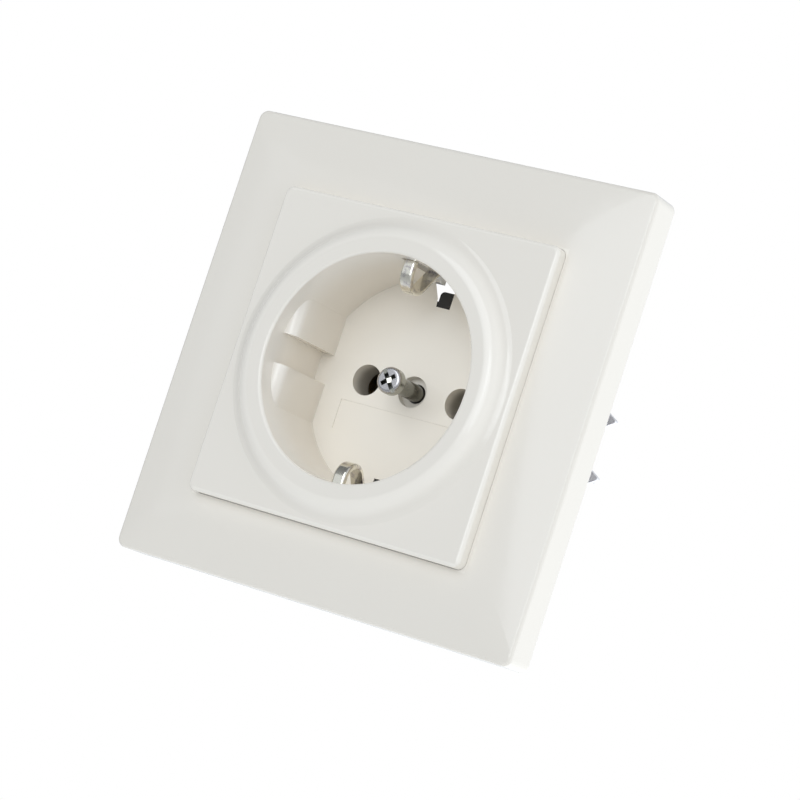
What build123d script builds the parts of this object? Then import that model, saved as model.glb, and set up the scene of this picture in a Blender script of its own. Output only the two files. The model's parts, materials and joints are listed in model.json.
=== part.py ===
from build123d import *
import os
from math import atan2, cos, degrees, radians, sin, sqrt

# A flush wall socket outlet of type F: a square cover frame, a centre plate with a round
# collar and a deep well, and behind them the insert that carries the contacts, the earth
# clips, the steel mounting ring and the two spreading claws.
# Sizes are in millimetres. X runs right, Z up, and the front of the socket faces -Y.
# A height is the distance in front of the wall plane, negative inside the wall.

# Well and collar of the centre plate
well_radius = 19.8
well_depth = 17.5
well_wall = 1.6
floor_thickness = 2.0
lip_radius = 0.5
collar_flat = 2.4
collar_flank = 2.4
collar_flank_drop = 1.1
collar_foot = 1.8
collar_rise = 2.1

# Square face of the centre plate
plate_margin = 1.1
plate_rise = 2.4
plate_wall = 2.0
plate_skirt = 1.6
plate_corner = 1.4
plate_edge_radius = 0.7

# Cover frame
frame_gap = 0.05
rail_width = 12.6
rail_wall = 1.8
ridge_height = 7.05
ridge_radius = 0.7
rail_back_radius = 0.6
window_height = 8.0
crown_bulge = 0.22
dome_corner = 4.8
dome_steps = 4
frame_corner = 1.6
ledge_width = 2.0
ledge_thickness = 1.3
ledge_clearance = 0.3

# Pin holes, guide lugs and floor field
pin_pitch = 19.0
pin_hole_radius = 2.75
pin_reach = 19.0
pin_guide_wall = 0.9
pin_guide_length = 3.6
lug_flat = 34.6
lug_setback = 3.6
lug_lead_in = 1.8
channel_width = 5.3
field_width = 26.4
field_height = 5.3
field_drop = 6.9
field_depth = 0.15

# Centre screw with its boss and nut
screw_radius = 1.5
screw_clearance = 0.2
screw_head_radius = 2.35
screw_head_height = 1.9
screw_proud = 6.9
screw_length = 21.0
screw_turn = 40.0
recess_width = 0.8
recess_length = 2.9
recess_depth = 1.2
slot_depth = 0.5
boss_wall = 1.25
seat_depth = 1.5
boss_clearance = 0.2
nut_width = 5.5
nut_height = 2.4
nut_clearance = 0.3

# Earth clips and the bridge that joins them
earth_sheet = 0.8
clip_width = 2.5
clip_edge_radius = 0.5
clip_reach = 4.5
clip_bend = 2.8
clip_turn = 139.0
clip_front_height = 8.7
clip_tail = 3.0
clip_slot_clearance = 0.4
bridge_width = 6.4
bridge_half_length = 13.0
bridge_hole_radius = 2.0
bridge_bend = 0.8
leg_clearance = 0.2

# Locating lugs of the contact cover and their windows in the well floor
insert_drop = 0.35
key_width = 2.6
key_height = 2.8
key_overhang = 1.95
key_offset = 0.55
key_corner = 0.8
key_clearance = 0.05
key_recess = 0.1
window_knee = 0.25
window_spread = 1.65
window_flare = 1.6

# Insert: contact cover, base body and mounting ring
cover_thickness = 2.7
base_wall = 1.6
base_floor = 5.6
base_corner = 2.0
base_edge_radius = 0.8
flange_thickness = 3.3
flange_edge = 0.4
column_radius = 2.5
column_angle = 32.0
column_gap = 0.2
ring_thickness = 1.2
ring_edge_gap = 2.85
ring_corner = 11.0
ring_clearance = 0.9
ring_land = 0.8
box_screw_pitch = 60.0
box_slot_length = 5.0
box_slot_radius = 1.8
rivet_radius = 1.3
rivet_head_radius = 2.2
rivet_head_height = 0.8
rivet_length = 8.0
thread_clearance = 0.05

# Contacts and terminals
contact_sheet = 0.8
contact_width = 7.0
contact_clearance = 0.8
contact_foot = 3.8
contact_slope = 1.6
leaf_depth = 6.0
leaf_gap_mouth = 6.4
leaf_gap_grip = 4.6
leaf_gap_root = 5.4
leaf_setback = 1.3
grip_setback = 5.8
pin_end_clearance = 1.6
terminal_offset = 11.0
clamp_width = 7.0
clamp_thickness = 1.2
clamp_margin = 0.4
wire_gap = 2.4
wire_entry_width = 3.4
terminal_screw_radius = 1.75
terminal_head_radius = 3.0
terminal_head_height = 2.2
terminal_screw_length = 7.2
terminal_bore_clearance = 0.3
terminal_slot_width = 0.9
terminal_slot_depth = 0.8
earth_leg_offset = 6.6
earth_leg_clearance = 0.4
earth_chamber_width = 7.6
earth_rivet_radius = 1.25
earth_rivet_head = 0.6
cover_screw_radius = 1.1
cover_screw_head_radius = 2.0
cover_screw_head_height = 1.2
cover_screw_length = 9.0
cover_screw_offset = 12.0

# Spreading claws, hinged on barrel nuts that ride on the claw screws
claw_sheet = 1.2
claw_width = 13.2
claw_side_gap = 0.4
claw_forward = 6.3
claw_web_start = 1.0
claw_notch_width = 4.4
claw_notch_end = 5.5
claw_bar = 1.0
tooth_pitch = 10.1
tooth_width = 3.2
tooth_length = 2.7
tooth_tip_radius = 0.4
ear_radius = 2.6
ear_gap = 0.3
barrel_depth = 22.0
barrel_radius = 2.2
barrel_length = 8.0
barrel_pin_radius = 1.2
barrel_pin_length = 2.0
barrel_pin_clearance = 0.05
claw_screw_gap = 0.5
claw_screw_head_radius = 2.7
claw_screw_head_height = 1.4
claw_screw_length = 26.5
claw_slot_width = 0.8
claw_slot_depth = 0.7

# Radii and half widths that follow from the well outwards
well_outer = well_radius + well_wall
collar_top_radius = well_radius + collar_flat
collar_base_radius = collar_top_radius + collar_flank
foot_radius = collar_base_radius + collar_foot
plate_half = foot_radius + plate_margin
window_half = plate_half + frame_gap
frame_half = window_half + rail_width
lug_flat_half = lug_flat / 2
pole_x = pin_pitch / 2

# Heights, from the frame and plate back to the rear of the base
ledge_bottom = ring_thickness + claw_screw_head_height + ledge_clearance
ledge_top = ledge_bottom + ledge_thickness
plate_height = window_height + plate_rise
plate_back = plate_height - plate_wall
rim_height = plate_height + collar_rise
floor_height = rim_height - well_depth
floor_back = floor_height - floor_thickness
cover_back = floor_back - cover_thickness
boss_seat = floor_height - seat_depth
bridge_front = cover_back - leg_clearance
bridge_back = bridge_front - earth_sheet
contact_bottom = floor_height - pin_reach - pin_end_clearance - contact_sheet
terminal_height = contact_bottom + clamp_thickness + wire_gap
wire_height = terminal_height - wire_gap / 2
chamber_floor = contact_bottom
base_back = chamber_floor - base_floor

# Places of the insert's pieces, worked outwards from the well
ring_opening = well_outer + ring_clearance
ring_width = 2 * (frame_half - rail_wall - ring_edge_gap)
column_circle = ring_opening + column_radius + ring_land
column_x = column_circle * cos(radians(column_angle))
column_z = column_circle * sin(radians(column_angle))
base_half_width = column_x - column_radius - column_gap
chamber_half_width = contact_width / 2 + contact_clearance
chamber_half_length = terminal_offset + clamp_width / 2 + clamp_margin
base_half_height = chamber_half_length + base_wall
flange_half_width = column_x + column_radius + flange_edge
flange_half_height = column_z + column_radius + flange_edge
key_top = base_half_height + key_overhang
key_low = key_top - key_height
key_left = key_offset - key_width / 2
key_right = key_offset + key_width / 2
clip_slot_half = clip_width / 2 + clip_slot_clearance
clip_slot_start = well_radius - clip_slot_clearance
clip_leg_z = well_outer + leg_clearance + earth_sheet / 2
clip_centre_z = well_radius - clip_reach + clip_bend
clip_slot_front = clip_front_height + earth_sheet / 2 + clip_slot_clearance
clip_slot_reach = clip_leg_z + earth_sheet / 2 + leg_clearance
cover_screw_x = (pole_x + chamber_half_width + base_half_width) / 2
boss_radius = pin_hole_radius + boss_wall
pin_guide_radius = pin_hole_radius + pin_guide_wall
pin_guide_back = floor_back - pin_guide_length
earth_chamber_start = earth_leg_offset - earth_leg_clearance
cover_screw_cone = cover_screw_head_radius - cover_screw_radius
cover_screw_taper = degrees(atan2(cover_screw_cone, cover_screw_head_height))
claw_screw_x = well_outer + claw_screw_head_radius + claw_screw_gap
ear_inner = barrel_length / 2 + ear_gap

column_points = [(sx * column_x, sz * column_z) for sx in (-1, 1) for sz in (-1, 1)]
terminal_points = [(sx * pole_x, sz * terminal_offset) for sx in (-1, 1) for sz in (-1, 1)]
terminal_points.append((0, -terminal_offset))
cover_screw_points = [(sx * cover_screw_x, sx * cover_screw_offset) for sx in (-1, 1)]
earth_rivet_point = (0, -terminal_offset)
claw_screw_points = [(-claw_screw_x, 0), (claw_screw_x, 0)]

# Section planes: across holds X and height, upright holds Z and height
across = Plane(origin=(0, 0, 0), x_dir=(1, 0, 0), z_dir=(0, 0, -1))
upright = Plane(origin=(0, 0, 0), x_dir=(0, 0, 1), z_dir=(1, 0, 0))


def at_height(height):
    """Plane parallel to the wall, facing out of it, with X right and Z up."""
    return Plane.XZ.offset(height)


# Cover frame: a hollow square whose front is one shallow dome. The dome is lofted through squares
# on a low arc, and their corners open out from the ridge inward, so the rails blend without a mitre.
ledge_half = window_half - ledge_width
hollow_half = frame_half - rail_wall
inner_wall_half = window_half + rail_wall
crown = SagittaArc((frame_half, ridge_height), (ledge_half, window_height), -crown_bulge)


def on_outside(edge):
    middle = edge.center()
    return max(abs(middle.X), abs(middle.Z)) > frame_half - rail_wall / 2


with BuildPart() as cover_frame:
    with BuildSketch(at_height(0)):
        RectangleRounded(2 * frame_half, 2 * frame_half, frame_corner)
    extrude(amount=ridge_height)
    for step in range(dome_steps + 1):
        share = step / dome_steps
        level = crown @ share
        level_corner = frame_corner + (dome_corner - frame_corner) * sqrt(share)
        with BuildSketch(at_height(level.Y)):
            RectangleRounded(2 * level.X, 2 * level.X, level_corner)
    loft()
    ridge_edges = cover_frame.edges().filter_by(on_outside).group_by(Axis.Y)[0]
    fillet(ridge_edges, ridge_radius)
    with BuildSketch(at_height(ledge_top)):
        RectangleRounded(2 * window_half, 2 * window_half, plate_corner + frame_gap)
    extrude(amount=window_height, mode=Mode.SUBTRACT)
    with BuildSketch(at_height(ledge_bottom)):
        Rectangle(2 * ledge_half, 2 * ledge_half)
    extrude(amount=ledge_thickness, mode=Mode.SUBTRACT)
    with BuildSketch(at_height(0)):
        Rectangle(2 * hollow_half, 2 * hollow_half)
    extrude(amount=ledge_bottom, mode=Mode.SUBTRACT)
    with BuildSketch(at_height(ledge_bottom)):
        Rectangle(2 * hollow_half, 2 * hollow_half)
        Rectangle(2 * inner_wall_half, 2 * inner_wall_half, mode=Mode.SUBTRACT)
    extrude(amount=ridge_height - rail_wall - ledge_bottom, mode=Mode.SUBTRACT)
    back_edges = cover_frame.edges().filter_by(on_outside).group_by(Axis.Y)[-1]
    fillet(back_edges, rail_back_radius)

# Centre plate: square face, collar, well, guide lugs, clip slots, pin holes and screw boss
lug_front = rim_height - lug_setback

with BuildPart() as guide_lugs:
    with BuildSketch(across.offset(-channel_width / 2)):
        with BuildLine():
            lead_in = JernArc(
                (lug_flat_half, lug_front - lug_lead_in), (0, 1), lug_lead_in, -90
            )
            Polyline(
                lead_in @ 1,
                (well_outer, lug_front),
                (well_outer, floor_height),
                (lug_flat_half, floor_height),
                lead_in @ 0,
            )
        make_face()
    extrude(amount=-well_outer)
    with BuildSketch(at_height(floor_height)):
        Circle(well_radius + well_wall / 2)
    extrude(amount=well_depth, mode=Mode.INTERSECT)
    mirror(about=Plane.XY)
    mirror(about=Plane.YZ)



def window_outline(flare):
    """Corners of a floor window: it hugs the lug, widens to the well wall and can flare to the left."""
    return (
        (key_left - key_clearance - flare, key_low - key_clearance),
        (key_right + key_clearance, key_low - key_clearance),
        (key_right + key_clearance, well_radius),
        (key_left - window_spread - flare, well_radius),
        (key_left - window_knee - flare, (key_low + key_top) / 2),
    )


with BuildPart() as clip_opening:
    with BuildSketch(at_height(floor_back)):
        Polygon(*window_outline(window_flare), align=None)
    with BuildSketch(at_height(floor_height)):
        Polygon(*window_outline(0), align=None)
    loft()
    with BuildSketch(at_height(floor_back)):
        with Locations((0, (clip_slot_start + clip_slot_reach) / 2)):
            Rectangle(2 * clip_slot_half, clip_slot_reach - clip_slot_start)
    extrude(amount=clip_slot_front - floor_back)

with BuildPart() as centre_plate:
    with BuildSketch(at_height(ledge_top)):
        RectangleRounded(2 * plate_half, 2 * plate_half, plate_corner)
    extrude(amount=plate_height - ledge_top)
    fillet(centre_plate.faces().sort_by(Axis.Y)[0].edges(), plate_edge_radius)
    with BuildSketch(at_height(ledge_top)):
        Rectangle(2 * (plate_half - plate_skirt), 2 * (plate_half - plate_skirt))
    extrude(amount=plate_back - ledge_top, mode=Mode.SUBTRACT)
    with BuildSketch(across):
        with BuildLine():
            flank = TangentArc(
                (collar_top_radius, rim_height),
                (collar_base_radius, rim_height - collar_flank_drop),
                tangent=(1, 0),
            )
            foot = TangentArc(flank @ 1, (foot_radius, plate_height), tangent=flank % 1)
            Polyline(
                foot @ 1,
                (foot_radius, plate_back),
                (well_outer, plate_back),
                (well_outer, floor_back),
                (0, floor_back),
                (0, rim_height),
                flank @ 0,
            )
        make_face()
    revolve(axis=Axis.Y)
    with BuildSketch(at_height(floor_height)):
        Circle(well_radius)
    extrude(amount=well_depth, mode=Mode.SUBTRACT)
    rim_circles = centre_plate.edges().filter_by(GeomType.CIRCLE).group_by(Axis.Y)[0]
    fillet(rim_circles.sort_by(SortBy.RADIUS)[0], lip_radius)
    add(guide_lugs.part)
    with BuildSketch(at_height(cover_back)):
        Circle(boss_radius)
    extrude(amount=floor_back - cover_back)
    with BuildSketch(at_height(pin_guide_back)):
        with Locations((-pole_x, 0), (pole_x, 0)):
            Circle(pin_guide_radius)
    extrude(amount=pin_guide_length)
    with BuildSketch(at_height(boss_seat)):
        Circle(pin_hole_radius)
    extrude(amount=floor_height - boss_seat, mode=Mode.SUBTRACT)
    with BuildSketch(at_height(cover_back)):
        Circle(screw_radius + screw_clearance)
    extrude(amount=boss_seat - cover_back, mode=Mode.SUBTRACT)
    with BuildSketch(at_height(pin_guide_back)):
        with Locations((-pole_x, 0), (pole_x, 0)):
            Circle(pin_hole_radius)
    extrude(amount=floor_height - pin_guide_back, mode=Mode.SUBTRACT)
    with BuildSketch(at_height(floor_height - field_depth)):
        with Locations((0, -field_drop)):
            Rectangle(field_width, field_height)
    extrude(amount=field_depth, mode=Mode.SUBTRACT)
    with Locations((0, 0, -insert_drop)):
        for turn in (0, 180):
            add(clip_opening.part, rotation=(0, turn, 0), mode=Mode.SUBTRACT)

# Centre screw: pan head with a cross recess and a slot, drawn part of the way out
screw_seat = floor_height + screw_proud
screw_top = screw_seat + screw_head_height

with BuildPart() as centre_screw:
    with BuildSketch(at_height(screw_seat)):
        Circle(screw_head_radius)
    extrude(amount=screw_head_height)
    fillet(centre_screw.faces().sort_by(Axis.Y)[0].edges(), screw_head_height / 3)
    with BuildSketch(at_height(screw_top - recess_depth)):
        Rectangle(recess_length, recess_width, rotation=screw_turn)
        Rectangle(recess_width, recess_length, rotation=screw_turn)
    extrude(amount=recess_depth, mode=Mode.SUBTRACT)
    with BuildSketch(at_height(screw_top - slot_depth)):
        Rectangle(recess_width, 2 * screw_head_radius, rotation=screw_turn)
    extrude(amount=slot_depth, mode=Mode.SUBTRACT)
    with BuildSketch(at_height(screw_seat - screw_length)):
        Circle(screw_radius)
    extrude(amount=screw_length)
    chamfer(centre_screw.faces().sort_by(Axis.Y)[-1].edges(), screw_radius / 4)

nut_top = bridge_back - nut_clearance

with BuildPart() as centre_nut:
    with BuildSketch(at_height(nut_top - nut_height)):
        Rectangle(nut_width, nut_width)
        Circle(screw_radius + thread_clearance, mode=Mode.SUBTRACT)
    extrude(amount=nut_height)

# Earth bridge: one strip, bowed into a clip above and below, with its legs behind the well
bridge_height = bridge_front - earth_sheet / 2
clip_centre_height = clip_front_height - clip_bend
clip_axis = Edge.make_line(
    (-clip_width, -clip_centre_height, clip_centre_z), (clip_width, -clip_centre_height, clip_centre_z)
)


def on_clip_outside(edge):
    at_side = abs(abs(edge.center().X) - clip_width / 2) < thread_clearance
    return at_side and abs(edge.distance_to(clip_axis) - clip_bend - earth_sheet / 2) < thread_clearance


with BuildPart() as clip_strip:
    with BuildSketch(upright):
        with BuildLine() as clip_path:
            front_leg = Line(
                (clip_centre_z + clip_tail, clip_front_height), (clip_centre_z, clip_front_height)
            )
            nose = JernArc(front_leg @ 1, front_leg % 1, clip_bend, clip_turn)
            rear_run = (clip_leg_z - (nose @ 1).X) / (nose % 1).X
            FilletPolyline(
                nose @ 1,
                nose @ 1 + (nose % 1) * rear_run,
                (clip_leg_z, bridge_height),
                (0, bridge_height),
                radius=bridge_bend,
            )
        trace(clip_path.line, earth_sheet)
    extrude(amount=clip_width / 2, both=True)
    fillet(clip_strip.edges().filter_by(on_clip_outside), clip_edge_radius)

with BuildPart() as earth_bridge:
    with Locations((0, 0, -insert_drop)):
        add(clip_strip.part)
        add(mirror(clip_strip.part, about=Plane.XY, mode=Mode.PRIVATE))
    with BuildSketch(at_height(bridge_back)):
        Rectangle(bridge_width, 2 * bridge_half_length)
    extrude(amount=earth_sheet)
    with BuildSketch(at_height(bridge_back)):
        Circle(bridge_hole_radius)
        with Locations(earth_rivet_point):
            Circle(earth_rivet_radius + thread_clearance)
    extrude(amount=earth_sheet, mode=Mode.SUBTRACT)

# Earth terminal: a strip folded back from the bridge to the terminal row
earth_top = bridge_back - contact_sheet

with BuildPart() as earth_terminal:
    with BuildSketch(upright):
        with Locations((-(earth_leg_offset + chamber_half_length - clamp_margin) / 2, 0)):
            for flange_height in (earth_top, terminal_height):
                with Locations((0, flange_height + contact_sheet / 2)):
                    Rectangle(chamber_half_length - clamp_margin - earth_leg_offset, contact_sheet)
        with Locations((-earth_leg_offset - contact_sheet / 2, (bridge_back + terminal_height) / 2)):
            Rectangle(contact_sheet, bridge_back - terminal_height)
    extrude(amount=bridge_width / 2, both=True)
    with BuildSketch(at_height(terminal_height)):
        with Locations((0, -terminal_offset)):
            Circle(terminal_screw_radius + thread_clearance)
    extrude(amount=contact_sheet, mode=Mode.SUBTRACT)
    with BuildSketch(at_height(earth_top)):
        with Locations(earth_rivet_point):
            Circle(earth_rivet_radius + thread_clearance)
    extrude(amount=contact_sheet, mode=Mode.SUBTRACT)

with BuildPart() as earth_rivet:
    with BuildSketch(at_height(earth_top - earth_rivet_head)):
        with Locations(earth_rivet_point):
            Circle(earth_rivet_radius * 2)
    extrude(amount=earth_rivet_head)
    with BuildSketch(at_height(earth_top)):
        with Locations(earth_rivet_point):
            Circle(earth_rivet_radius)
    extrude(amount=bridge_front - earth_top)

# Contact cover: closes the base, and keys into the floor windows of the centre plate
with BuildPart() as cover_key:
    with BuildSketch(at_height(cover_back)) as key_outline:
        key_middle = (key_low + key_top) / 2
        with Locations((key_offset, key_middle)):
            Rectangle(key_width, key_height)
        round_corners = [
            corner
            for corner in key_outline.vertices()
            if (corner.X - key_offset) * (corner.Y - key_middle) < 0
        ]
        fillet(round_corners, key_corner)
    extrude(amount=cover_thickness + floor_thickness - key_recess)

with BuildPart() as contact_cover:
    with BuildSketch(at_height(cover_back)):
        RectangleRounded(2 * base_half_width, 2 * base_half_height, base_corner)
        Circle(boss_radius + boss_clearance, mode=Mode.SUBTRACT)
        with Locations((-pole_x, 0), (pole_x, 0)):
            Circle(pin_guide_radius + boss_clearance, mode=Mode.SUBTRACT)
        with Locations(*cover_screw_points):
            Circle(cover_screw_radius + thread_clearance, mode=Mode.SUBTRACT)
    extrude(amount=cover_thickness)
    with BuildSketch(at_height(floor_back)):
        with Locations(*cover_screw_points):
            Circle(cover_screw_head_radius + thread_clearance)
    extrude(amount=-cover_screw_head_height, taper=cover_screw_taper, mode=Mode.SUBTRACT)
    with Locations((0, 0, -insert_drop)):
        for turn in (0, 180):
            add(cover_key.part, rotation=(0, turn, 0))

with BuildPart() as cover_screws:
    with BuildSketch(at_height(floor_back)):
        with Locations(*cover_screw_points):
            Circle(cover_screw_head_radius)
    extrude(amount=-cover_screw_head_height, taper=cover_screw_taper)
    with BuildSketch(at_height(floor_back - cover_screw_length)):
        with Locations(*cover_screw_points):
            Circle(cover_screw_radius)
    extrude(amount=cover_screw_length - cover_screw_head_height)

# Base body: block with contact chambers, a flange, and four columns up to the mounting ring
with BuildPart() as base_body:
    with BuildSketch(at_height(base_back)):
        RectangleRounded(2 * base_half_width, 2 * base_half_height, base_corner)
    extrude(amount=cover_back - base_back)
    fillet(base_body.faces().sort_by(Axis.Y)[-1].edges(), base_edge_radius)
    with BuildSketch(at_height(cover_back - flange_thickness)):
        RectangleRounded(2 * flange_half_width, 2 * flange_half_height, column_radius)
        for side in (-1, 1):
            with Locations((side * (base_half_width + flange_half_width) / 2, 0)):
                Rectangle(
                    flange_half_width - base_half_width,
                    claw_width + 2 * claw_side_gap,
                    mode=Mode.SUBTRACT,
                )
    extrude(amount=flange_thickness)
    with BuildSketch(at_height(cover_back)):
        with Locations(*column_points):
            Circle(column_radius)
    extrude(amount=-cover_back)
    with BuildSketch(at_height(ring_thickness - rivet_length)):
        with Locations(*column_points):
            Circle(rivet_radius + thread_clearance)
    extrude(amount=rivet_length - ring_thickness, mode=Mode.SUBTRACT)
    with BuildSketch(at_height(chamber_floor)):
        with Locations((-pole_x, 0), (pole_x, 0)):
            Rectangle(2 * chamber_half_width, 2 * chamber_half_length)
        with Locations((0, -(earth_chamber_start + chamber_half_length) / 2)):
            Rectangle(earth_chamber_width, chamber_half_length - earth_chamber_start)
    extrude(amount=cover_back - chamber_floor, mode=Mode.SUBTRACT)
    with BuildSketch(at_height(bridge_back)):
        Rectangle(bridge_width + 2 * nut_clearance, 2 * base_half_height)
    extrude(amount=cover_back - bridge_back, mode=Mode.SUBTRACT)
    with BuildSketch(at_height(nut_top - nut_height)):
        Rectangle(nut_width + 2 * nut_clearance, nut_width + 2 * nut_clearance)
    extrude(amount=bridge_back - nut_top + nut_height, mode=Mode.SUBTRACT)
    with BuildSketch(at_height(base_back + base_wall)):
        Circle(screw_radius + screw_clearance)
    extrude(amount=nut_top - nut_height - base_back - base_wall, mode=Mode.SUBTRACT)
    with BuildSketch(at_height(floor_back - cover_screw_length)):
        with Locations(*cover_screw_points):
            Circle(cover_screw_radius + thread_clearance)
    extrude(amount=cover_screw_length - cover_thickness, mode=Mode.SUBTRACT)
    with BuildSketch(at_height(base_back)):
        with Locations(*terminal_points):
            Circle(terminal_head_radius + terminal_bore_clearance)
    extrude(amount=base_floor, mode=Mode.SUBTRACT)
    with BuildSketch(across):
        with Locations((-pole_x, wire_height), (pole_x, wire_height)):
            Rectangle(wire_entry_width, wire_gap)
    extrude(amount=base_half_height, both=True, mode=Mode.SUBTRACT)
    with BuildSketch(across.offset(chamber_half_length)):
        with Locations((0, wire_height)):
            Rectangle(wire_entry_width, wire_gap)
    extrude(amount=base_wall, mode=Mode.SUBTRACT)

# Mounting ring: flat steel with the well opening, box screw slots and claw screw holes
with BuildPart() as mounting_ring:
    with BuildSketch(at_height(0)) as ring_outline:
        Rectangle(ring_width, ring_width)
        chamfer(ring_outline.vertices(), ring_corner)
        Circle(ring_opening, mode=Mode.SUBTRACT)
        Rectangle(2 * clip_slot_half, 2 * (clip_leg_z + ring_clearance + insert_drop), mode=Mode.SUBTRACT)
        with Locations((-box_screw_pitch / 2, 0), (box_screw_pitch / 2, 0)):
            SlotOverall(box_slot_length, 2 * box_slot_radius, mode=Mode.SUBTRACT)
        with Locations((0, -box_screw_pitch / 2), (0, box_screw_pitch / 2)):
            SlotOverall(box_slot_length, 2 * box_slot_radius, rotation=90, mode=Mode.SUBTRACT)
        with Locations(*claw_screw_points):
            Circle(screw_radius + screw_clearance, mode=Mode.SUBTRACT)
        with Locations(*column_points):
            Circle(rivet_radius + thread_clearance, mode=Mode.SUBTRACT)
    extrude(amount=ring_thickness)

with BuildPart() as ring_rivets:
    with BuildSketch(at_height(ring_thickness)):
        with Locations(*column_points):
            Circle(rivet_head_radius)
    extrude(amount=rivet_head_height)
    fillet(ring_rivets.edges().group_by(Axis.Y)[0], rivet_head_height / 2)
    with BuildSketch(at_height(ring_thickness - rivet_length)):
        with Locations(*column_points):
            Circle(rivet_radius)
    extrude(amount=rivet_length)


def make_contact(centre_x):
    """Sprung contact: a stepped terminal strip with two leaves that grip the plug pin."""
    strip_end = chamber_half_length - clamp_margin
    strip_mid = contact_sheet / 2
    with BuildPart() as contact:
        with BuildSketch(upright.offset(centre_x)):
            with BuildLine() as strip_path:
                Polyline(
                    (-strip_end, terminal_height + strip_mid),
                    (-contact_foot - contact_slope, terminal_height + strip_mid),
                    (-contact_foot, contact_bottom + strip_mid),
                    (contact_foot, contact_bottom + strip_mid),
                    (contact_foot + contact_slope, terminal_height + strip_mid),
                    (strip_end, terminal_height + strip_mid),
                )
            trace(strip_path.line, contact_sheet)
        extrude(amount=contact_width / 2, both=True)
        for side in (-1, 1):
            with BuildSketch(across):
                with BuildLine() as leaf_path:
                    Polyline(
                        (centre_x + side * (leaf_gap_root / 2 + strip_mid), contact_bottom + strip_mid),
                        (centre_x + side * (leaf_gap_grip / 2 + strip_mid), cover_back - grip_setback),
                        (centre_x + side * (leaf_gap_mouth / 2 + strip_mid), cover_back - leaf_setback),
                    )
                trace(leaf_path.line, contact_sheet)
            extrude(amount=leaf_depth / 2, both=True)
        with BuildSketch(at_height(terminal_height)):
            with Locations((centre_x, -terminal_offset), (centre_x, terminal_offset)):
                Circle(terminal_screw_radius + thread_clearance)
        extrude(amount=contact_sheet, mode=Mode.SUBTRACT)
    return contact


line_contact = make_contact(-pole_x)
neutral_contact = make_contact(pole_x)

with BuildPart() as terminal_clamps:
    with BuildSketch(at_height(chamber_floor)):
        with Locations(*terminal_points):
            Rectangle(clamp_width, clamp_width)
        with Locations(*terminal_points):
            Circle(terminal_screw_radius + thread_clearance, mode=Mode.SUBTRACT)
    extrude(amount=clamp_thickness)

with BuildPart() as terminal_screws:
    with BuildSketch(at_height(chamber_floor - terminal_head_height)):
        with Locations(*terminal_points):
            Circle(terminal_head_radius)
    extrude(amount=terminal_head_height)
    with BuildSketch(at_height(chamber_floor - terminal_head_height)):
        with Locations(*terminal_points):
            Rectangle(2 * terminal_head_radius, terminal_slot_width)
    extrude(amount=terminal_slot_depth, mode=Mode.SUBTRACT)
    with BuildSketch(at_height(chamber_floor)):
        with Locations(*terminal_points):
            Circle(terminal_screw_radius)
    extrude(amount=terminal_screw_length)

# Claws, in the spread pose: two ears on the barrel nut, and a toothed web in front of it
web_height = -barrel_depth + claw_forward
tooth_root = claw_screw_x + claw_notch_end + claw_bar

with BuildPart() as right_claw:
    with BuildSketch(across.offset(-ear_inner)):
        with Locations((claw_screw_x, -barrel_depth)):
            Circle(ear_radius)
            with Locations(
                (claw_web_start + claw_sheet / 2, claw_forward),
                (claw_notch_end, claw_forward),
            ):
                Circle(claw_sheet / 2)
            make_hull()
            Circle(barrel_pin_radius + barrel_pin_clearance, mode=Mode.SUBTRACT)
    extrude(amount=-claw_sheet)
    mirror(about=Plane.XY)
    with BuildSketch(at_height(web_height - claw_sheet / 2)):
        with Locations(((claw_screw_x + claw_web_start + tooth_root) / 2, 0)):
            Rectangle(claw_notch_end + claw_bar - claw_web_start, claw_width)
        with Locations((claw_screw_x + (claw_web_start + claw_notch_end) / 2, 0)):
            Rectangle(claw_notch_end - claw_web_start, claw_notch_width, mode=Mode.SUBTRACT)
    extrude(amount=claw_sheet)
    for side in (-1, 1):
        with BuildSketch(at_height(web_height - claw_sheet / 2)) as tooth:
            with BuildLine():
                Polyline(
                    (tooth_root, side * (tooth_pitch - tooth_width) / 2),
                    (tooth_root + tooth_length, side * tooth_pitch / 2),
                    (tooth_root, side * (tooth_pitch + tooth_width) / 2),
                    close=True,
                )
            make_face()
            fillet(tooth.vertices().sort_by(Axis.X)[-1], tooth_tip_radius)
        extrude(amount=claw_sheet)

with BuildPart() as left_claw:
    mirror(right_claw.part, about=Plane.YZ)

with BuildPart() as claw_nuts:
    with BuildSketch(across):
        with Locations((-claw_screw_x, -barrel_depth), (claw_screw_x, -barrel_depth)):
            Circle(barrel_radius)
    extrude(amount=barrel_length / 2, both=True)
    with BuildSketch(across):
        with Locations((-claw_screw_x, -barrel_depth), (claw_screw_x, -barrel_depth)):
            Circle(barrel_pin_radius)
    extrude(amount=barrel_length / 2 + barrel_pin_length, both=True)
    with BuildSketch(at_height(-barrel_depth)):
        with Locations(*claw_screw_points):
            Circle(screw_radius + thread_clearance)
    extrude(amount=barrel_radius, both=True, mode=Mode.SUBTRACT)

with BuildPart() as claw_screws:
    with BuildSketch(at_height(ring_thickness)):
        with Locations(*claw_screw_points):
            Circle(claw_screw_head_radius)
    extrude(amount=claw_screw_head_height)
    fillet(claw_screws.edges().group_by(Axis.Y)[0], claw_screw_head_height / 3)
    with BuildSketch(at_height(ring_thickness + claw_screw_head_height - claw_slot_depth)):
        with Locations(*claw_screw_points):
            Rectangle(claw_slot_width, 2 * claw_screw_head_radius)
    extrude(amount=claw_slot_depth, mode=Mode.SUBTRACT)
    with BuildSketch(at_height(ring_thickness - claw_screw_length)):
        with Locations(*claw_screw_points):
            Circle(screw_radius)
    extrude(amount=claw_screw_length)

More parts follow.
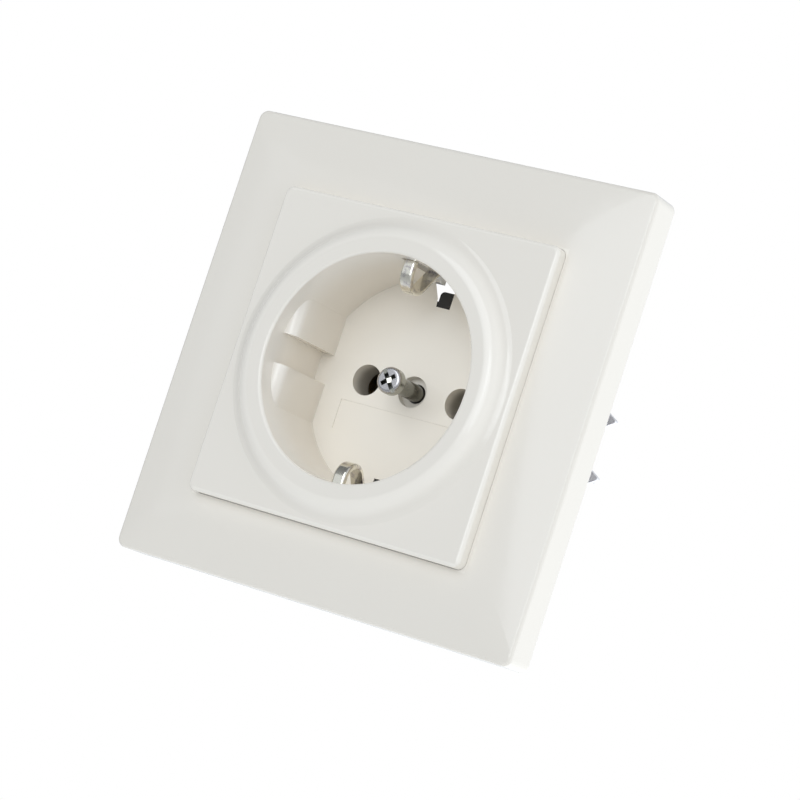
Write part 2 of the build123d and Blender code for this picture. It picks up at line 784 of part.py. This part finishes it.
os.makedirs("parts", exist_ok=True)
for name, piece in (
    ("cover_frame", cover_frame),
    ("centre_plate", centre_plate),
    ("centre_screw", centre_screw),
    ("centre_nut", centre_nut),
    ("earth_bridge", earth_bridge),
    ("earth_terminal", earth_terminal),
    ("earth_rivet", earth_rivet),
    ("contact_cover", contact_cover),
    ("cover_screws", cover_screws),
    ("base_body", base_body),
    ("mounting_ring", mounting_ring),
    ("ring_rivets", ring_rivets),
    ("line_contact", line_contact),
    ("neutral_contact", neutral_contact),
    ("terminal_clamps", terminal_clamps),
    ("terminal_screws", terminal_screws),
    ("left_claw", left_claw),
    ("right_claw", right_claw),
    ("claw_nuts", claw_nuts),
    ("claw_screws", claw_screws),
):
    piece.part.label = name
    export_step(piece.part, f"parts/{name}.step")
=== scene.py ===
import json
import math

import bmesh
import bpy
from mathutils import Matrix, Vector


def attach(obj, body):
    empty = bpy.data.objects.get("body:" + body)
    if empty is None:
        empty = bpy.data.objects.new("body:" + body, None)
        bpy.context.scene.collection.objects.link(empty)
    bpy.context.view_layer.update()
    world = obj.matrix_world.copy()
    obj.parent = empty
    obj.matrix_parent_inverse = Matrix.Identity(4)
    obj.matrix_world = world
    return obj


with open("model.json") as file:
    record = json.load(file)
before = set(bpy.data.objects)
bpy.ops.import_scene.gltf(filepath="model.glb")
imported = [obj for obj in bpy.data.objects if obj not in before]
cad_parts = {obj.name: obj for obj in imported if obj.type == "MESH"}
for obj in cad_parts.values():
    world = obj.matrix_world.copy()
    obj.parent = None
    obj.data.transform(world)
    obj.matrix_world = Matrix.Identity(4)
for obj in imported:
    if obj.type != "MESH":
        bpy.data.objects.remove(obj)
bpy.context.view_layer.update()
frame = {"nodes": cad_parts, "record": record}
nodes = frame["nodes"]
scene = bpy.context.scene

# Places of the painted light and shade, in metres: where each mask is zero, and where it is one.
# Depth runs along Y into the wall. Radius is measured from the Y axis, and span square to it.
plate_edge_inner_span = (0.0267, 0.0270)
plate_edge_outer_span = (0.0279, 0.0276)
flank_inner_radius = (0.0221, 0.0228)
flank_outer_radius = (0.0256, 0.0242)
well_radius = (0.0203, 0.01985)
lip_depth = (-0.0020, -0.0110)
floor_depth = (0.0040, 0.0048)
hole_depth = (0.0053, 0.0085)
face_depth = (-0.00325, -0.00360)
recess_radius = (0.00165, 0.00155)
recess_front_depth = (-0.00370, -0.00355)
recess_back_depth = (-0.00220, -0.00240)
shank_depth = (-0.00195, -0.00175)

# Core of the centre screw's recess, in metres and degrees
core_foot_radius = 0.00066
core_end_radius = 0.00062
core_height = 0.0009
core_bevel = 0.00004
core_middle_depth = -0.00296
core_turn = -15.0
core_end_tilt = 14.0

# Studio: colour of its light, even glow of its walls, sharpness of their brighter parts, and floor
studio_tint = (0.956, 1.0, 1.05)
even_glow = 0.165
glow_power = 4.0
floor_size = 6.0
floor_level = -0.4
floor_glow = 0.35

# Radiance of the brighter parts of the studio walls, by azimuth and elevation.
# It started from a fit to the photo's brightness and was then rounded and changed.
wall_glow = (
    (0, 0, 0.19),
    (315, 0, 0.12),
    (45, 0, 0.26),
    (90, 0, 0.56),
    (135, 0, 0.85),
    (180, 0, 0.36),
    (225, 0, 0.22),
    (90, 45, 0.62),
    (180, 45, 0.29),
    (0, -45, 0.09),
    (90, -45, 0.16),
    (180, -45, 1.4),
    (270, -45, 0.45),
    (0, 90, 0.03),
    (0, -90, 0.52),
)

# Camera, with its axes in the frame of the socket
camera_lens = 136.32
camera_sensor = 36.0
camera_clip = (0.02, 50.0)
camera_place = (0.265504, -0.435006, -0.049582)
camera_right = Vector((0.82687, 0.46876, 0.31072))
camera_up = Vector((-0.22114, -0.23699, 0.94601))
camera_back = Vector((0.51709, -0.85094, -0.09230))


def put(tree, kind, settings=None, inputs=None):
    """Adds one node to a tree, with its settings and the values of its unlinked inputs."""
    node = tree.nodes.new(kind)
    for name, value in (settings or {}).items():
        setattr(node, name, value)
    for name, value in (inputs or {}).items():
        node.inputs[name].default_value = value
    return node


def new_group(name, inputs, outputs):
    """An empty shader node group with float sockets, and its input and output nodes."""
    group = bpy.data.node_groups.new(name, "ShaderNodeTree")
    for label, value in inputs.items():
        socket = group.interface.new_socket(label, in_out="INPUT", socket_type="NodeSocketFloat")
        socket.default_value = value
    for label in outputs:
        group.interface.new_socket(label, in_out="OUTPUT", socket_type="NodeSocketFloat")
    return group, put(group, "NodeGroupInput"), put(group, "NodeGroupOutput")


def moulded_skin_group():
    """Skin of a moulding: faint polishing waves, flow marks and a slight drift of its roughness."""
    group, given, result = new_group(
        "moulded_skin",
        {
            "Wave Scale": 260.0,
            "Grain Scale": 3000.0,
            "Grain Share": 0.2,
            "Gloss": 0.1,
            "Gloss Drift": 0.03,
        },
        ("Height", "Roughness", "Drift"),
    )
    link = group.links.new
    place = put(group, "ShaderNodeTexCoord")
    waves = put(group, "ShaderNodeTexNoise", inputs={"Detail": 1.0, "Roughness": 0.4})
    grain = put(group, "ShaderNodeTexNoise", inputs={"Detail": 2.0, "Roughness": 0.5})
    flow = put(
        group, "ShaderNodeTexNoise", inputs={"Scale": 40.0, "Detail": 3.0, "Roughness": 0.55},
    )
    for texture in (waves, grain, flow):
        link(place.outputs["Object"], texture.inputs["Vector"])
    link(given.outputs["Wave Scale"], waves.inputs["Scale"])
    link(given.outputs["Grain Scale"], grain.inputs["Scale"])
    height = put(group, "ShaderNodeMix", {"data_type": "FLOAT"})
    link(given.outputs["Grain Share"], height.inputs["Factor"])
    link(waves.outputs["Fac"], height.inputs["A"])
    link(grain.outputs["Fac"], height.inputs["B"])
    link(height.outputs["Result"], result.inputs["Height"])
    drift = put(group, "ShaderNodeMath", {"operation": "MULTIPLY_ADD"})
    link(flow.outputs["Fac"], drift.inputs[0])
    link(given.outputs["Gloss Drift"], drift.inputs[1])
    link(given.outputs["Gloss"], drift.inputs[2])
    link(drift.outputs["Value"], result.inputs["Roughness"])
    link(flow.outputs["Fac"], result.inputs["Drift"])
    return group


def metal_skin_group():
    """Skin of a plated strip: fine rolling lines, small dull spots and a height for the lines."""
    group, given, result = new_group(
        "metal_skin",
        {
            "Line Scale": 2600.0,
            "Spot Scale": 700.0,
            "Gloss": 0.15,
            "Line Gloss": 0.08,
            "Spot Gloss": 0.1,
        },
        ("Height", "Roughness", "Dulling"),
    )
    link = group.links.new
    place = put(group, "ShaderNodeTexCoord")
    stretch = put(group, "ShaderNodeMapping", inputs={"Scale": (1.0, 0.06, 0.06)})
    lines = put(group, "ShaderNodeTexNoise", inputs={"Detail": 2.0, "Roughness": 0.6})
    spots = put(group, "ShaderNodeTexNoise", inputs={"Detail": 3.0, "Roughness": 0.6})
    link(place.outputs["Object"], stretch.inputs["Vector"])
    link(stretch.outputs["Vector"], lines.inputs["Vector"])
    link(place.outputs["Object"], spots.inputs["Vector"])
    link(given.outputs["Line Scale"], lines.inputs["Scale"])
    link(given.outputs["Spot Scale"], spots.inputs["Scale"])
    dull = put(group, "ShaderNodeMapRange", inputs={"From Min": 0.5, "From Max": 0.72})
    link(spots.outputs["Fac"], dull.inputs["Value"])
    lined = put(group, "ShaderNodeMath", {"operation": "MULTIPLY_ADD"})
    link(lines.outputs["Fac"], lined.inputs[0])
    link(given.outputs["Line Gloss"], lined.inputs[1])
    link(given.outputs["Gloss"], lined.inputs[2])
    spotted = put(group, "ShaderNodeMath", {"operation": "MULTIPLY_ADD"})
    link(dull.outputs["Result"], spotted.inputs[0])
    link(given.outputs["Spot Gloss"], spotted.inputs[1])
    link(lined.outputs["Value"], spotted.inputs[2])
    link(lines.outputs["Fac"], result.inputs["Height"])
    link(spotted.outputs["Value"], result.inputs["Roughness"])
    link(dull.outputs["Result"], result.inputs["Dulling"])
    return group


def ramp(tree, value, ends):
    """A mask that runs smoothly from zero at the first end to one at the second."""
    zero_at, one_at = ends
    rising = zero_at < one_at
    fade = put(
        tree,
        "ShaderNodeMapRange",
        {"interpolation_type": "SMOOTHSTEP"},
        {
            "From Min": min(ends),
            "From Max": max(ends),
            "To Min": 0.0 if rising else 1.0,
            "To Max": 1.0 if rising else 0.0,
        },
    )
    tree.links.new(value, fade.inputs["Value"])
    return fade.outputs["Result"]


def both(tree, mask, other):
    """The mask where two masks hold."""
    product = put(tree, "ShaderNodeMath", {"operation": "MULTIPLY"})
    tree.links.new(mask, product.inputs[0])
    tree.links.new(other, product.inputs[1])
    return product.outputs["Value"]


def place_group(name, outputs):
    """A group that measures a point's depth along Y and its distance from the Y axis."""
    group, _, result = new_group(name, {}, outputs)
    link = group.links.new
    place = put(group, "ShaderNodeTexCoord")
    split = put(group, "ShaderNodeSeparateXYZ")
    flat = put(group, "ShaderNodeVectorMath", {"operation": "MULTIPLY"}, {1: (1.0, 0.0, 1.0)})
    radius = put(group, "ShaderNodeVectorMath", {"operation": "LENGTH"})
    link(place.outputs["Object"], split.inputs["Vector"])
    link(place.outputs["Object"], flat.inputs[0])
    link(flat.outputs["Vector"], radius.inputs[0])
    return group, split.outputs["Y"], radius.outputs["Value"], result


def square_span(group):
    """How far a point is from the Y axis in the sense of a square: the larger of its X and Z."""
    link = group.links.new
    place = put(group, "ShaderNodeTexCoord")
    across = put(group, "ShaderNodeVectorMath", {"operation": "ABSOLUTE"})
    sides = put(group, "ShaderNodeSeparateXYZ")
    farther = put(group, "ShaderNodeMath", {"operation": "MAXIMUM"})
    link(place.outputs["Object"], across.inputs[0])
    link(across.outputs["Vector"], sides.inputs["Vector"])
    link(sides.outputs["X"], farther.inputs[0])
    link(sides.outputs["Z"], farther.inputs[1])
    return farther.outputs["Value"]


def plate_light_and_shade_group():
    """Masks of painted light and shade: highlights on the plate's edge, the collar's flank and the
    well's lip, light in the well and on its floor, and shade deep in its holes.
    """
    group, depth, radius, result = place_group(
        "well_light_and_shade", ("Plate Edge Highlight", "Flank Highlight", "Well Light", "Lip Highlight", "Floor Light", "Hole Shade"),
    )
    span = square_span(group)
    inside = ramp(group, radius, well_radius)
    masks = {
        "Plate Edge Highlight": both(
            group,
            ramp(group, span, plate_edge_inner_span),
            ramp(group, span, plate_edge_outer_span),
        ),
        "Flank Highlight": both(
            group,
            ramp(group, radius, flank_inner_radius),
            ramp(group, radius, flank_outer_radius),
        ),
        "Well Light": inside,
        "Lip Highlight": both(group, inside, ramp(group, depth, lip_depth)),
        "Floor Light": both(group, inside, ramp(group, depth, floor_depth)),
        "Hole Shade": both(group, inside, ramp(group, depth, hole_depth)),
    }
    for label, mask in masks.items():
        group.links.new(mask, result.inputs[label])
    return group


def screw_light_and_shade_group():
    """Masks of painted light and shade on the centre screw: its head's lighter face, and the darker
    recess and shank.
    """
    group, depth, radius, result = place_group("screw_light_and_shade", ("Lit Face", "Recess Shade", "Shank Shade"))
    below_face = ramp(group, depth, recess_front_depth)
    above_bottom = ramp(group, depth, recess_back_depth)
    in_recess = both(group, ramp(group, radius, recess_radius), above_bottom)
    masks = {
        "Lit Face": ramp(group, depth, face_depth),
        "Recess Shade": both(group, below_face, in_recess),
        "Shank Shade": ramp(group, depth, shank_depth),
    }
    for label, mask in masks.items():
        group.links.new(mask, result.inputs[label])
    return group


def finish_with_skin(name, group, skin, base, tint, mask, bump, metallic, plain=None):
    """A finish with a skin group's roughness and bump. A mask blends its base into its tint."""
    material = bpy.data.materials.new(name)
    material.use_nodes = True
    tree = material.node_tree
    link = tree.links.new
    surface = tree.nodes["Principled BSDF"]
    surface.inputs["Metallic"].default_value = metallic
    for label, value in (plain or {}).items():
        surface.inputs[label].default_value = value
    skinned = put(tree, "ShaderNodeGroup", {"node_tree": group}, skin)
    colour = put(tree, "ShaderNodeMix", {"data_type": "RGBA"})
    colour.inputs["A"].default_value = (*base, 1.0)
    colour.inputs["B"].default_value = (*tint, 1.0)
    strength, distance = bump
    relief = put(tree, "ShaderNodeBump", inputs={"Strength": strength, "Distance": distance})
    link(skinned.outputs[mask], colour.inputs["Factor"])
    link(colour.outputs["Result"], surface.inputs["Base Color"])
    link(skinned.outputs["Roughness"], surface.inputs["Roughness"])
    link(skinned.outputs["Height"], relief.inputs["Height"])
    link(relief.outputs["Normal"], surface.inputs["Normal"])
    return material


def paint_light_and_shade(material, group, tones):
    """Lays painted light and shade over places of a material, one tone after another."""
    tree = material.node_tree
    base = tree.nodes["Principled BSDF"].inputs["Base Color"]
    places = put(tree, "ShaderNodeGroup", {"node_tree": group})
    for place, tone in tones.items():
        toned = put(tree, "ShaderNodeMix", {"data_type": "RGBA"})
        toned.inputs["B"].default_value = (*tone, 1.0)
        tree.links.new(places.outputs[place], toned.inputs["Factor"])
        tree.links.new(base.links[0].from_socket, toned.inputs["A"])
        tree.links.new(toned.outputs["Result"], base)


moulded_skin = moulded_skin_group()
metal_skin = metal_skin_group()

white_moulding = finish_with_skin(
    "white_moulding",
    moulded_skin,
    skin={
        "Wave Scale": 220.0,
        "Grain Scale": 2600.0,
        "Grain Share": 0.15,
        "Gloss": 0.07,
        "Gloss Drift": 0.03,
    },
    base=(0.92, 0.872, 0.79),
    tint=(0.905, 0.856, 0.773),
    mask="Drift",
    bump=(0.04, 0.0002),
    metallic=0.0,
    plain={"IOR": 1.5},
)
# Painted light and shade on the white moulding: each tone below stands in for the light and shade
# at its place
paint_light_and_shade(
    white_moulding,
    plate_light_and_shade_group(),
    {
        # Painted highlight: a lighter band round the plate's edge and the seam beside it
        "Plate Edge Highlight": (0.985, 0.938, 0.855),
        # Painted highlight: the collar's flank lighter all round
        "Flank Highlight": (0.982, 0.934, 0.85),
        # Painted light: the inside of the well lighter and warmer than the plate
        "Well Light": (0.945, 0.883, 0.785),
        # Painted highlight: lighter towards the front of the well's wall, at its lip
        "Lip Highlight": (0.985, 0.942, 0.87),
        # Painted light: the well's floor lighter still
        "Floor Light": (0.972, 0.92, 0.828),
        # Painted shade: darker deep in the holes and slots behind the well's floor
        "Hole Shade": (0.55, 0.51, 0.44),
    },
)
dark_moulding = finish_with_skin(
    "dark_moulding",
    moulded_skin,
    skin={
        "Wave Scale": 500.0,
        "Grain Scale": 4200.0,
        "Grain Share": 0.6,
        "Gloss": 0.38,
        "Gloss Drift": 0.12,
    },
    base=(0.016, 0.016, 0.017),
    tint=(0.028, 0.027, 0.026),
    mask="Drift",
    bump=(0.25, 0.0001),
    metallic=0.0,
)
bright_nickel = finish_with_skin(
    "bright_nickel",
    metal_skin,
    skin={
        "Line Scale": 2600.0,
        "Spot Scale": 800.0,
        "Gloss": 0.1,
        "Line Gloss": 0.08,
        "Spot Gloss": 0.1,
    },
    base=(0.84, 0.81, 0.715),
    tint=(0.46, 0.42, 0.44),
    mask="Dulling",
    bump=(0.08, 0.0001),
    metallic=1.0,
)
screw_nickel = finish_with_skin(
    "screw_nickel",
    metal_skin,
    skin={
        "Line Scale": 3200.0,
        "Spot Scale": 1500.0,
        "Gloss": 0.16,
        "Line Gloss": 0.1,
        "Spot Gloss": 0.12,
    },
    base=(0.36, 0.355, 0.31),
    tint=(0.28, 0.275, 0.24),
    mask="Dulling",
    bump=(0.1, 0.0001),
    metallic=1.0,
)
paint_light_and_shade(
    screw_nickel,
    screw_light_and_shade_group(),
    # Painted light and shade: the head's face lighter than its side, the recess and the shank
    # darker
    {"Lit Face": (0.55, 0.535, 0.54), "Recess Shade": (0.17, 0.17, 0.16), "Shank Shade": (0.2, 0.195, 0.165)},
)
zinc_plate = finish_with_skin(
    "zinc_plate",
    metal_skin,
    skin={
        "Line Scale": 1800.0,
        "Spot Scale": 500.0,
        "Gloss": 0.44,
        "Line Gloss": 0.12,
        "Spot Gloss": 0.16,
    },
    base=(0.74, 0.73, 0.75),
    tint=(0.62, 0.61, 0.63),
    mask="Dulling",
    bump=(0.15, 0.0001),
    metallic=1.0,
)
# Paler, less metallic copy of the zinc for the claws: painted light that makes their teeth show
# lighter
painted_light_claw_zinc = finish_with_skin(
    "painted_light_claw_zinc",
    metal_skin,
    skin={
        "Line Scale": 1800.0,
        "Spot Scale": 900.0,
        "Gloss": 0.5,
        "Line Gloss": 0.12,
        "Spot Gloss": 0.16,
    },
    base=(0.9, 0.89, 0.905),
    tint=(0.7, 0.69, 0.705),
    mask="Dulling",
    bump=(0.15, 0.0001),
    metallic=0.85,
)
plain_brass = finish_with_skin(
    "plain_brass",
    metal_skin,
    skin={
        "Line Scale": 1600.0,
        "Spot Scale": 420.0,
        "Gloss": 0.22,
        "Line Gloss": 0.1,
        "Spot Gloss": 0.18,
    },
    base=(0.66, 0.57, 0.4),
    tint=(0.45, 0.39, 0.28),
    mask="Dulling",
    bump=(0.12, 0.0001),
    metallic=1.0,
)

slot_finishes = {
    "white_plastic": white_moulding,
    "black_plastic": dark_moulding,
    "nickel_plate": bright_nickel,
    "zinc_steel": zinc_plate,
    "contact_brass": plain_brass,
}
own_finishes = {"centre_screw": screw_nickel, "left_claw": painted_light_claw_zinc, "right_claw": painted_light_claw_zinc}
for part in frame["record"]["subparts"]:
    finish = own_finishes.get(part["node"], slot_finishes[part["material_slot"]])
    nodes[part["node"]].data.materials[0] = finish


def recess_core():
    """The bright square core in the middle of the screw's recess, its end tilted to the right."""
    mesh = bpy.data.meshes.new("screw_recess_core")
    shape = bmesh.new()
    made = bmesh.ops.create_cone(
        shape,
        cap_ends=True,
        segments=4,
        radius1=core_foot_radius,
        radius2=core_end_radius,
        depth=core_height,
    )
    turned = Matrix.Rotation(math.radians(core_turn), 3, "Z")
    tilted = Matrix.Rotation(math.radians(core_end_tilt), 3, "Y")
    faced_front = Matrix.Rotation(math.radians(90.0), 3, "X")
    bmesh.ops.rotate(shape, verts=made["verts"], matrix=turned)
    end = [vert for vert in made["verts"] if vert.co.z > 0.0]
    bmesh.ops.rotate(shape, verts=end, cent=(0.0, 0.0, core_height / 2), matrix=tilted)
    bmesh.ops.bevel(
        shape,
        geom=shape.edges[:],
        offset=core_bevel,
        segments=2,
        profile=0.5,
        affect="EDGES",
        material=-1,
    )
    bmesh.ops.rotate(shape, verts=shape.verts[:], matrix=faced_front)
    bmesh.ops.translate(shape, verts=shape.verts[:], vec=(0.0, core_middle_depth, 0.0))
    bmesh.ops.recalc_face_normals(shape, faces=shape.faces[:])
    shape.to_mesh(mesh)
    shape.free()
    mesh.materials.append(bright_nickel)
    core = bpy.data.objects.new("screw_recess_core", mesh)
    scene.collection.objects.link(core)
    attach(core, "socket")


def studio_direction(azimuth, elevation):
    """Unit vector from the socket. Azimuth 0 points straight out of its front, 90 to its right."""
    a, e = math.radians(azimuth), math.radians(elevation)
    return Vector((math.sin(a) * math.cos(e), -math.cos(a) * math.cos(e), math.sin(e)))


def softbox(name, azimuth, elevation, distance, width, radiance):
    """A round area light that faces the socket. Its power follows from the radiance of its face."""
    light = bpy.data.lights.new(name, "AREA")
    light.shape = "DISK"
    light.size = width
    light.color = studio_tint
    light.energy = radiance * width ** 2 * math.pi ** 2 / 4
    lamp = bpy.data.objects.new(name, light)
    towards = studio_direction(azimuth, elevation)
    lamp.location = towards * distance
    lamp.rotation_mode = "QUATERNION"
    lamp.rotation_quaternion = towards.to_track_quat("Z", "Y")
    lamp.visible_camera = False
    scene.collection.objects.link(lamp)


def white_studio():
    """Soft white walls that light the socket. The camera sees them as plain white."""
    world = bpy.data.worlds.new("white_studio")
    world.use_nodes = True
    scene.world = world
    sky = world.node_tree
    sky.nodes.clear()
    link = sky.links.new
    towards = put(sky, "ShaderNodeTexCoord")
    glow = put(sky, "ShaderNodeValue")
    glow.outputs["Value"].default_value = even_glow
    for azimuth, elevation, radiance in wall_glow:
        axis = studio_direction(azimuth, elevation)
        facing = put(sky, "ShaderNodeVectorMath", {"operation": "DOT_PRODUCT"}, {1: axis})
        near_half = put(sky, "ShaderNodeMath", {"operation": "MAXIMUM"}, {1: 0.0})
        lobe = put(sky, "ShaderNodeMath", {"operation": "POWER"}, {1: glow_power})
        total = put(sky, "ShaderNodeMath", {"operation": "MULTIPLY_ADD"}, {1: radiance})
        link(towards.outputs["Generated"], facing.inputs[0])
        link(facing.outputs["Value"], near_half.inputs[0])
        link(near_half.outputs["Value"], lobe.inputs[0])
        link(lobe.outputs["Value"], total.inputs[0])
        link(glow.outputs["Value"], total.inputs[2])
        glow = total
    white = (1.0, 1.0, 1.0, 1.0)
    lit = put(sky, "ShaderNodeBackground", inputs={"Color": (*studio_tint, 1.0)})
    seen = put(sky, "ShaderNodeBackground", inputs={"Color": white, "Strength": 1.0})
    ray = put(sky, "ShaderNodeLightPath")
    mixed = put(sky, "ShaderNodeMixShader")
    surface = put(sky, "ShaderNodeOutputWorld")
    link(glow.outputs["Value"], lit.inputs["Strength"])
    link(ray.outputs["Is Camera Ray"], mixed.inputs["Fac"])
    link(lit.outputs["Background"], mixed.inputs[1])
    link(seen.outputs["Background"], mixed.inputs[2])
    link(mixed.outputs["Shader"], surface.inputs["Surface"])


def studio_floor():
    """A pale floor that only the camera sees, so that it changes no light on the socket."""
    paint = bpy.data.materials.new("pale_floor")
    paint.use_nodes = True
    surface = paint.node_tree.nodes["Principled BSDF"]
    surface.inputs["Base Color"].default_value = (0.8, 0.8, 0.8, 1.0)
    surface.inputs["Roughness"].default_value = 0.9
    surface.inputs["Emission Color"].default_value = (1.0, 1.0, 1.0, 1.0)
    surface.inputs["Emission Strength"].default_value = floor_glow
    bpy.ops.mesh.primitive_plane_add(size=floor_size, location=(0.0, 0.0, floor_level))
    floor = bpy.context.object
    floor.name = "studio_floor"
    floor.data.materials.append(paint)
    floor.visible_diffuse = floor.visible_glossy = floor.visible_shadow = False


def photo_camera():
    """A camera fitted to the photo, with colours shown as they are."""
    lens = bpy.data.cameras.new("photo_camera")
    lens.lens = camera_lens
    lens.sensor_width = camera_sensor
    lens.clip_start, lens.clip_end = camera_clip
    camera = bpy.data.objects.new("photo_camera", lens)
    turn = Matrix((camera_right, camera_up, camera_back)).transposed()
    camera.matrix_world = Matrix.Translation(camera_place) @ turn.to_4x4()
    scene.collection.objects.link(camera)
    scene.camera = camera
    scene.view_settings.view_transform = "Standard"


recess_core()
softbox("round_softbox", azimuth=-5.0, elevation=20.0, distance=1.2, width=0.97, radiance=1.75)
softbox("round_softbox_core", azimuth=16.0, elevation=8.0, distance=1.19, width=0.6, radiance=1.9)
softbox("left_card", azimuth=-36.0, elevation=6.0, distance=1.2, width=0.42, radiance=0.4)
white_studio()
studio_floor()
photo_camera()
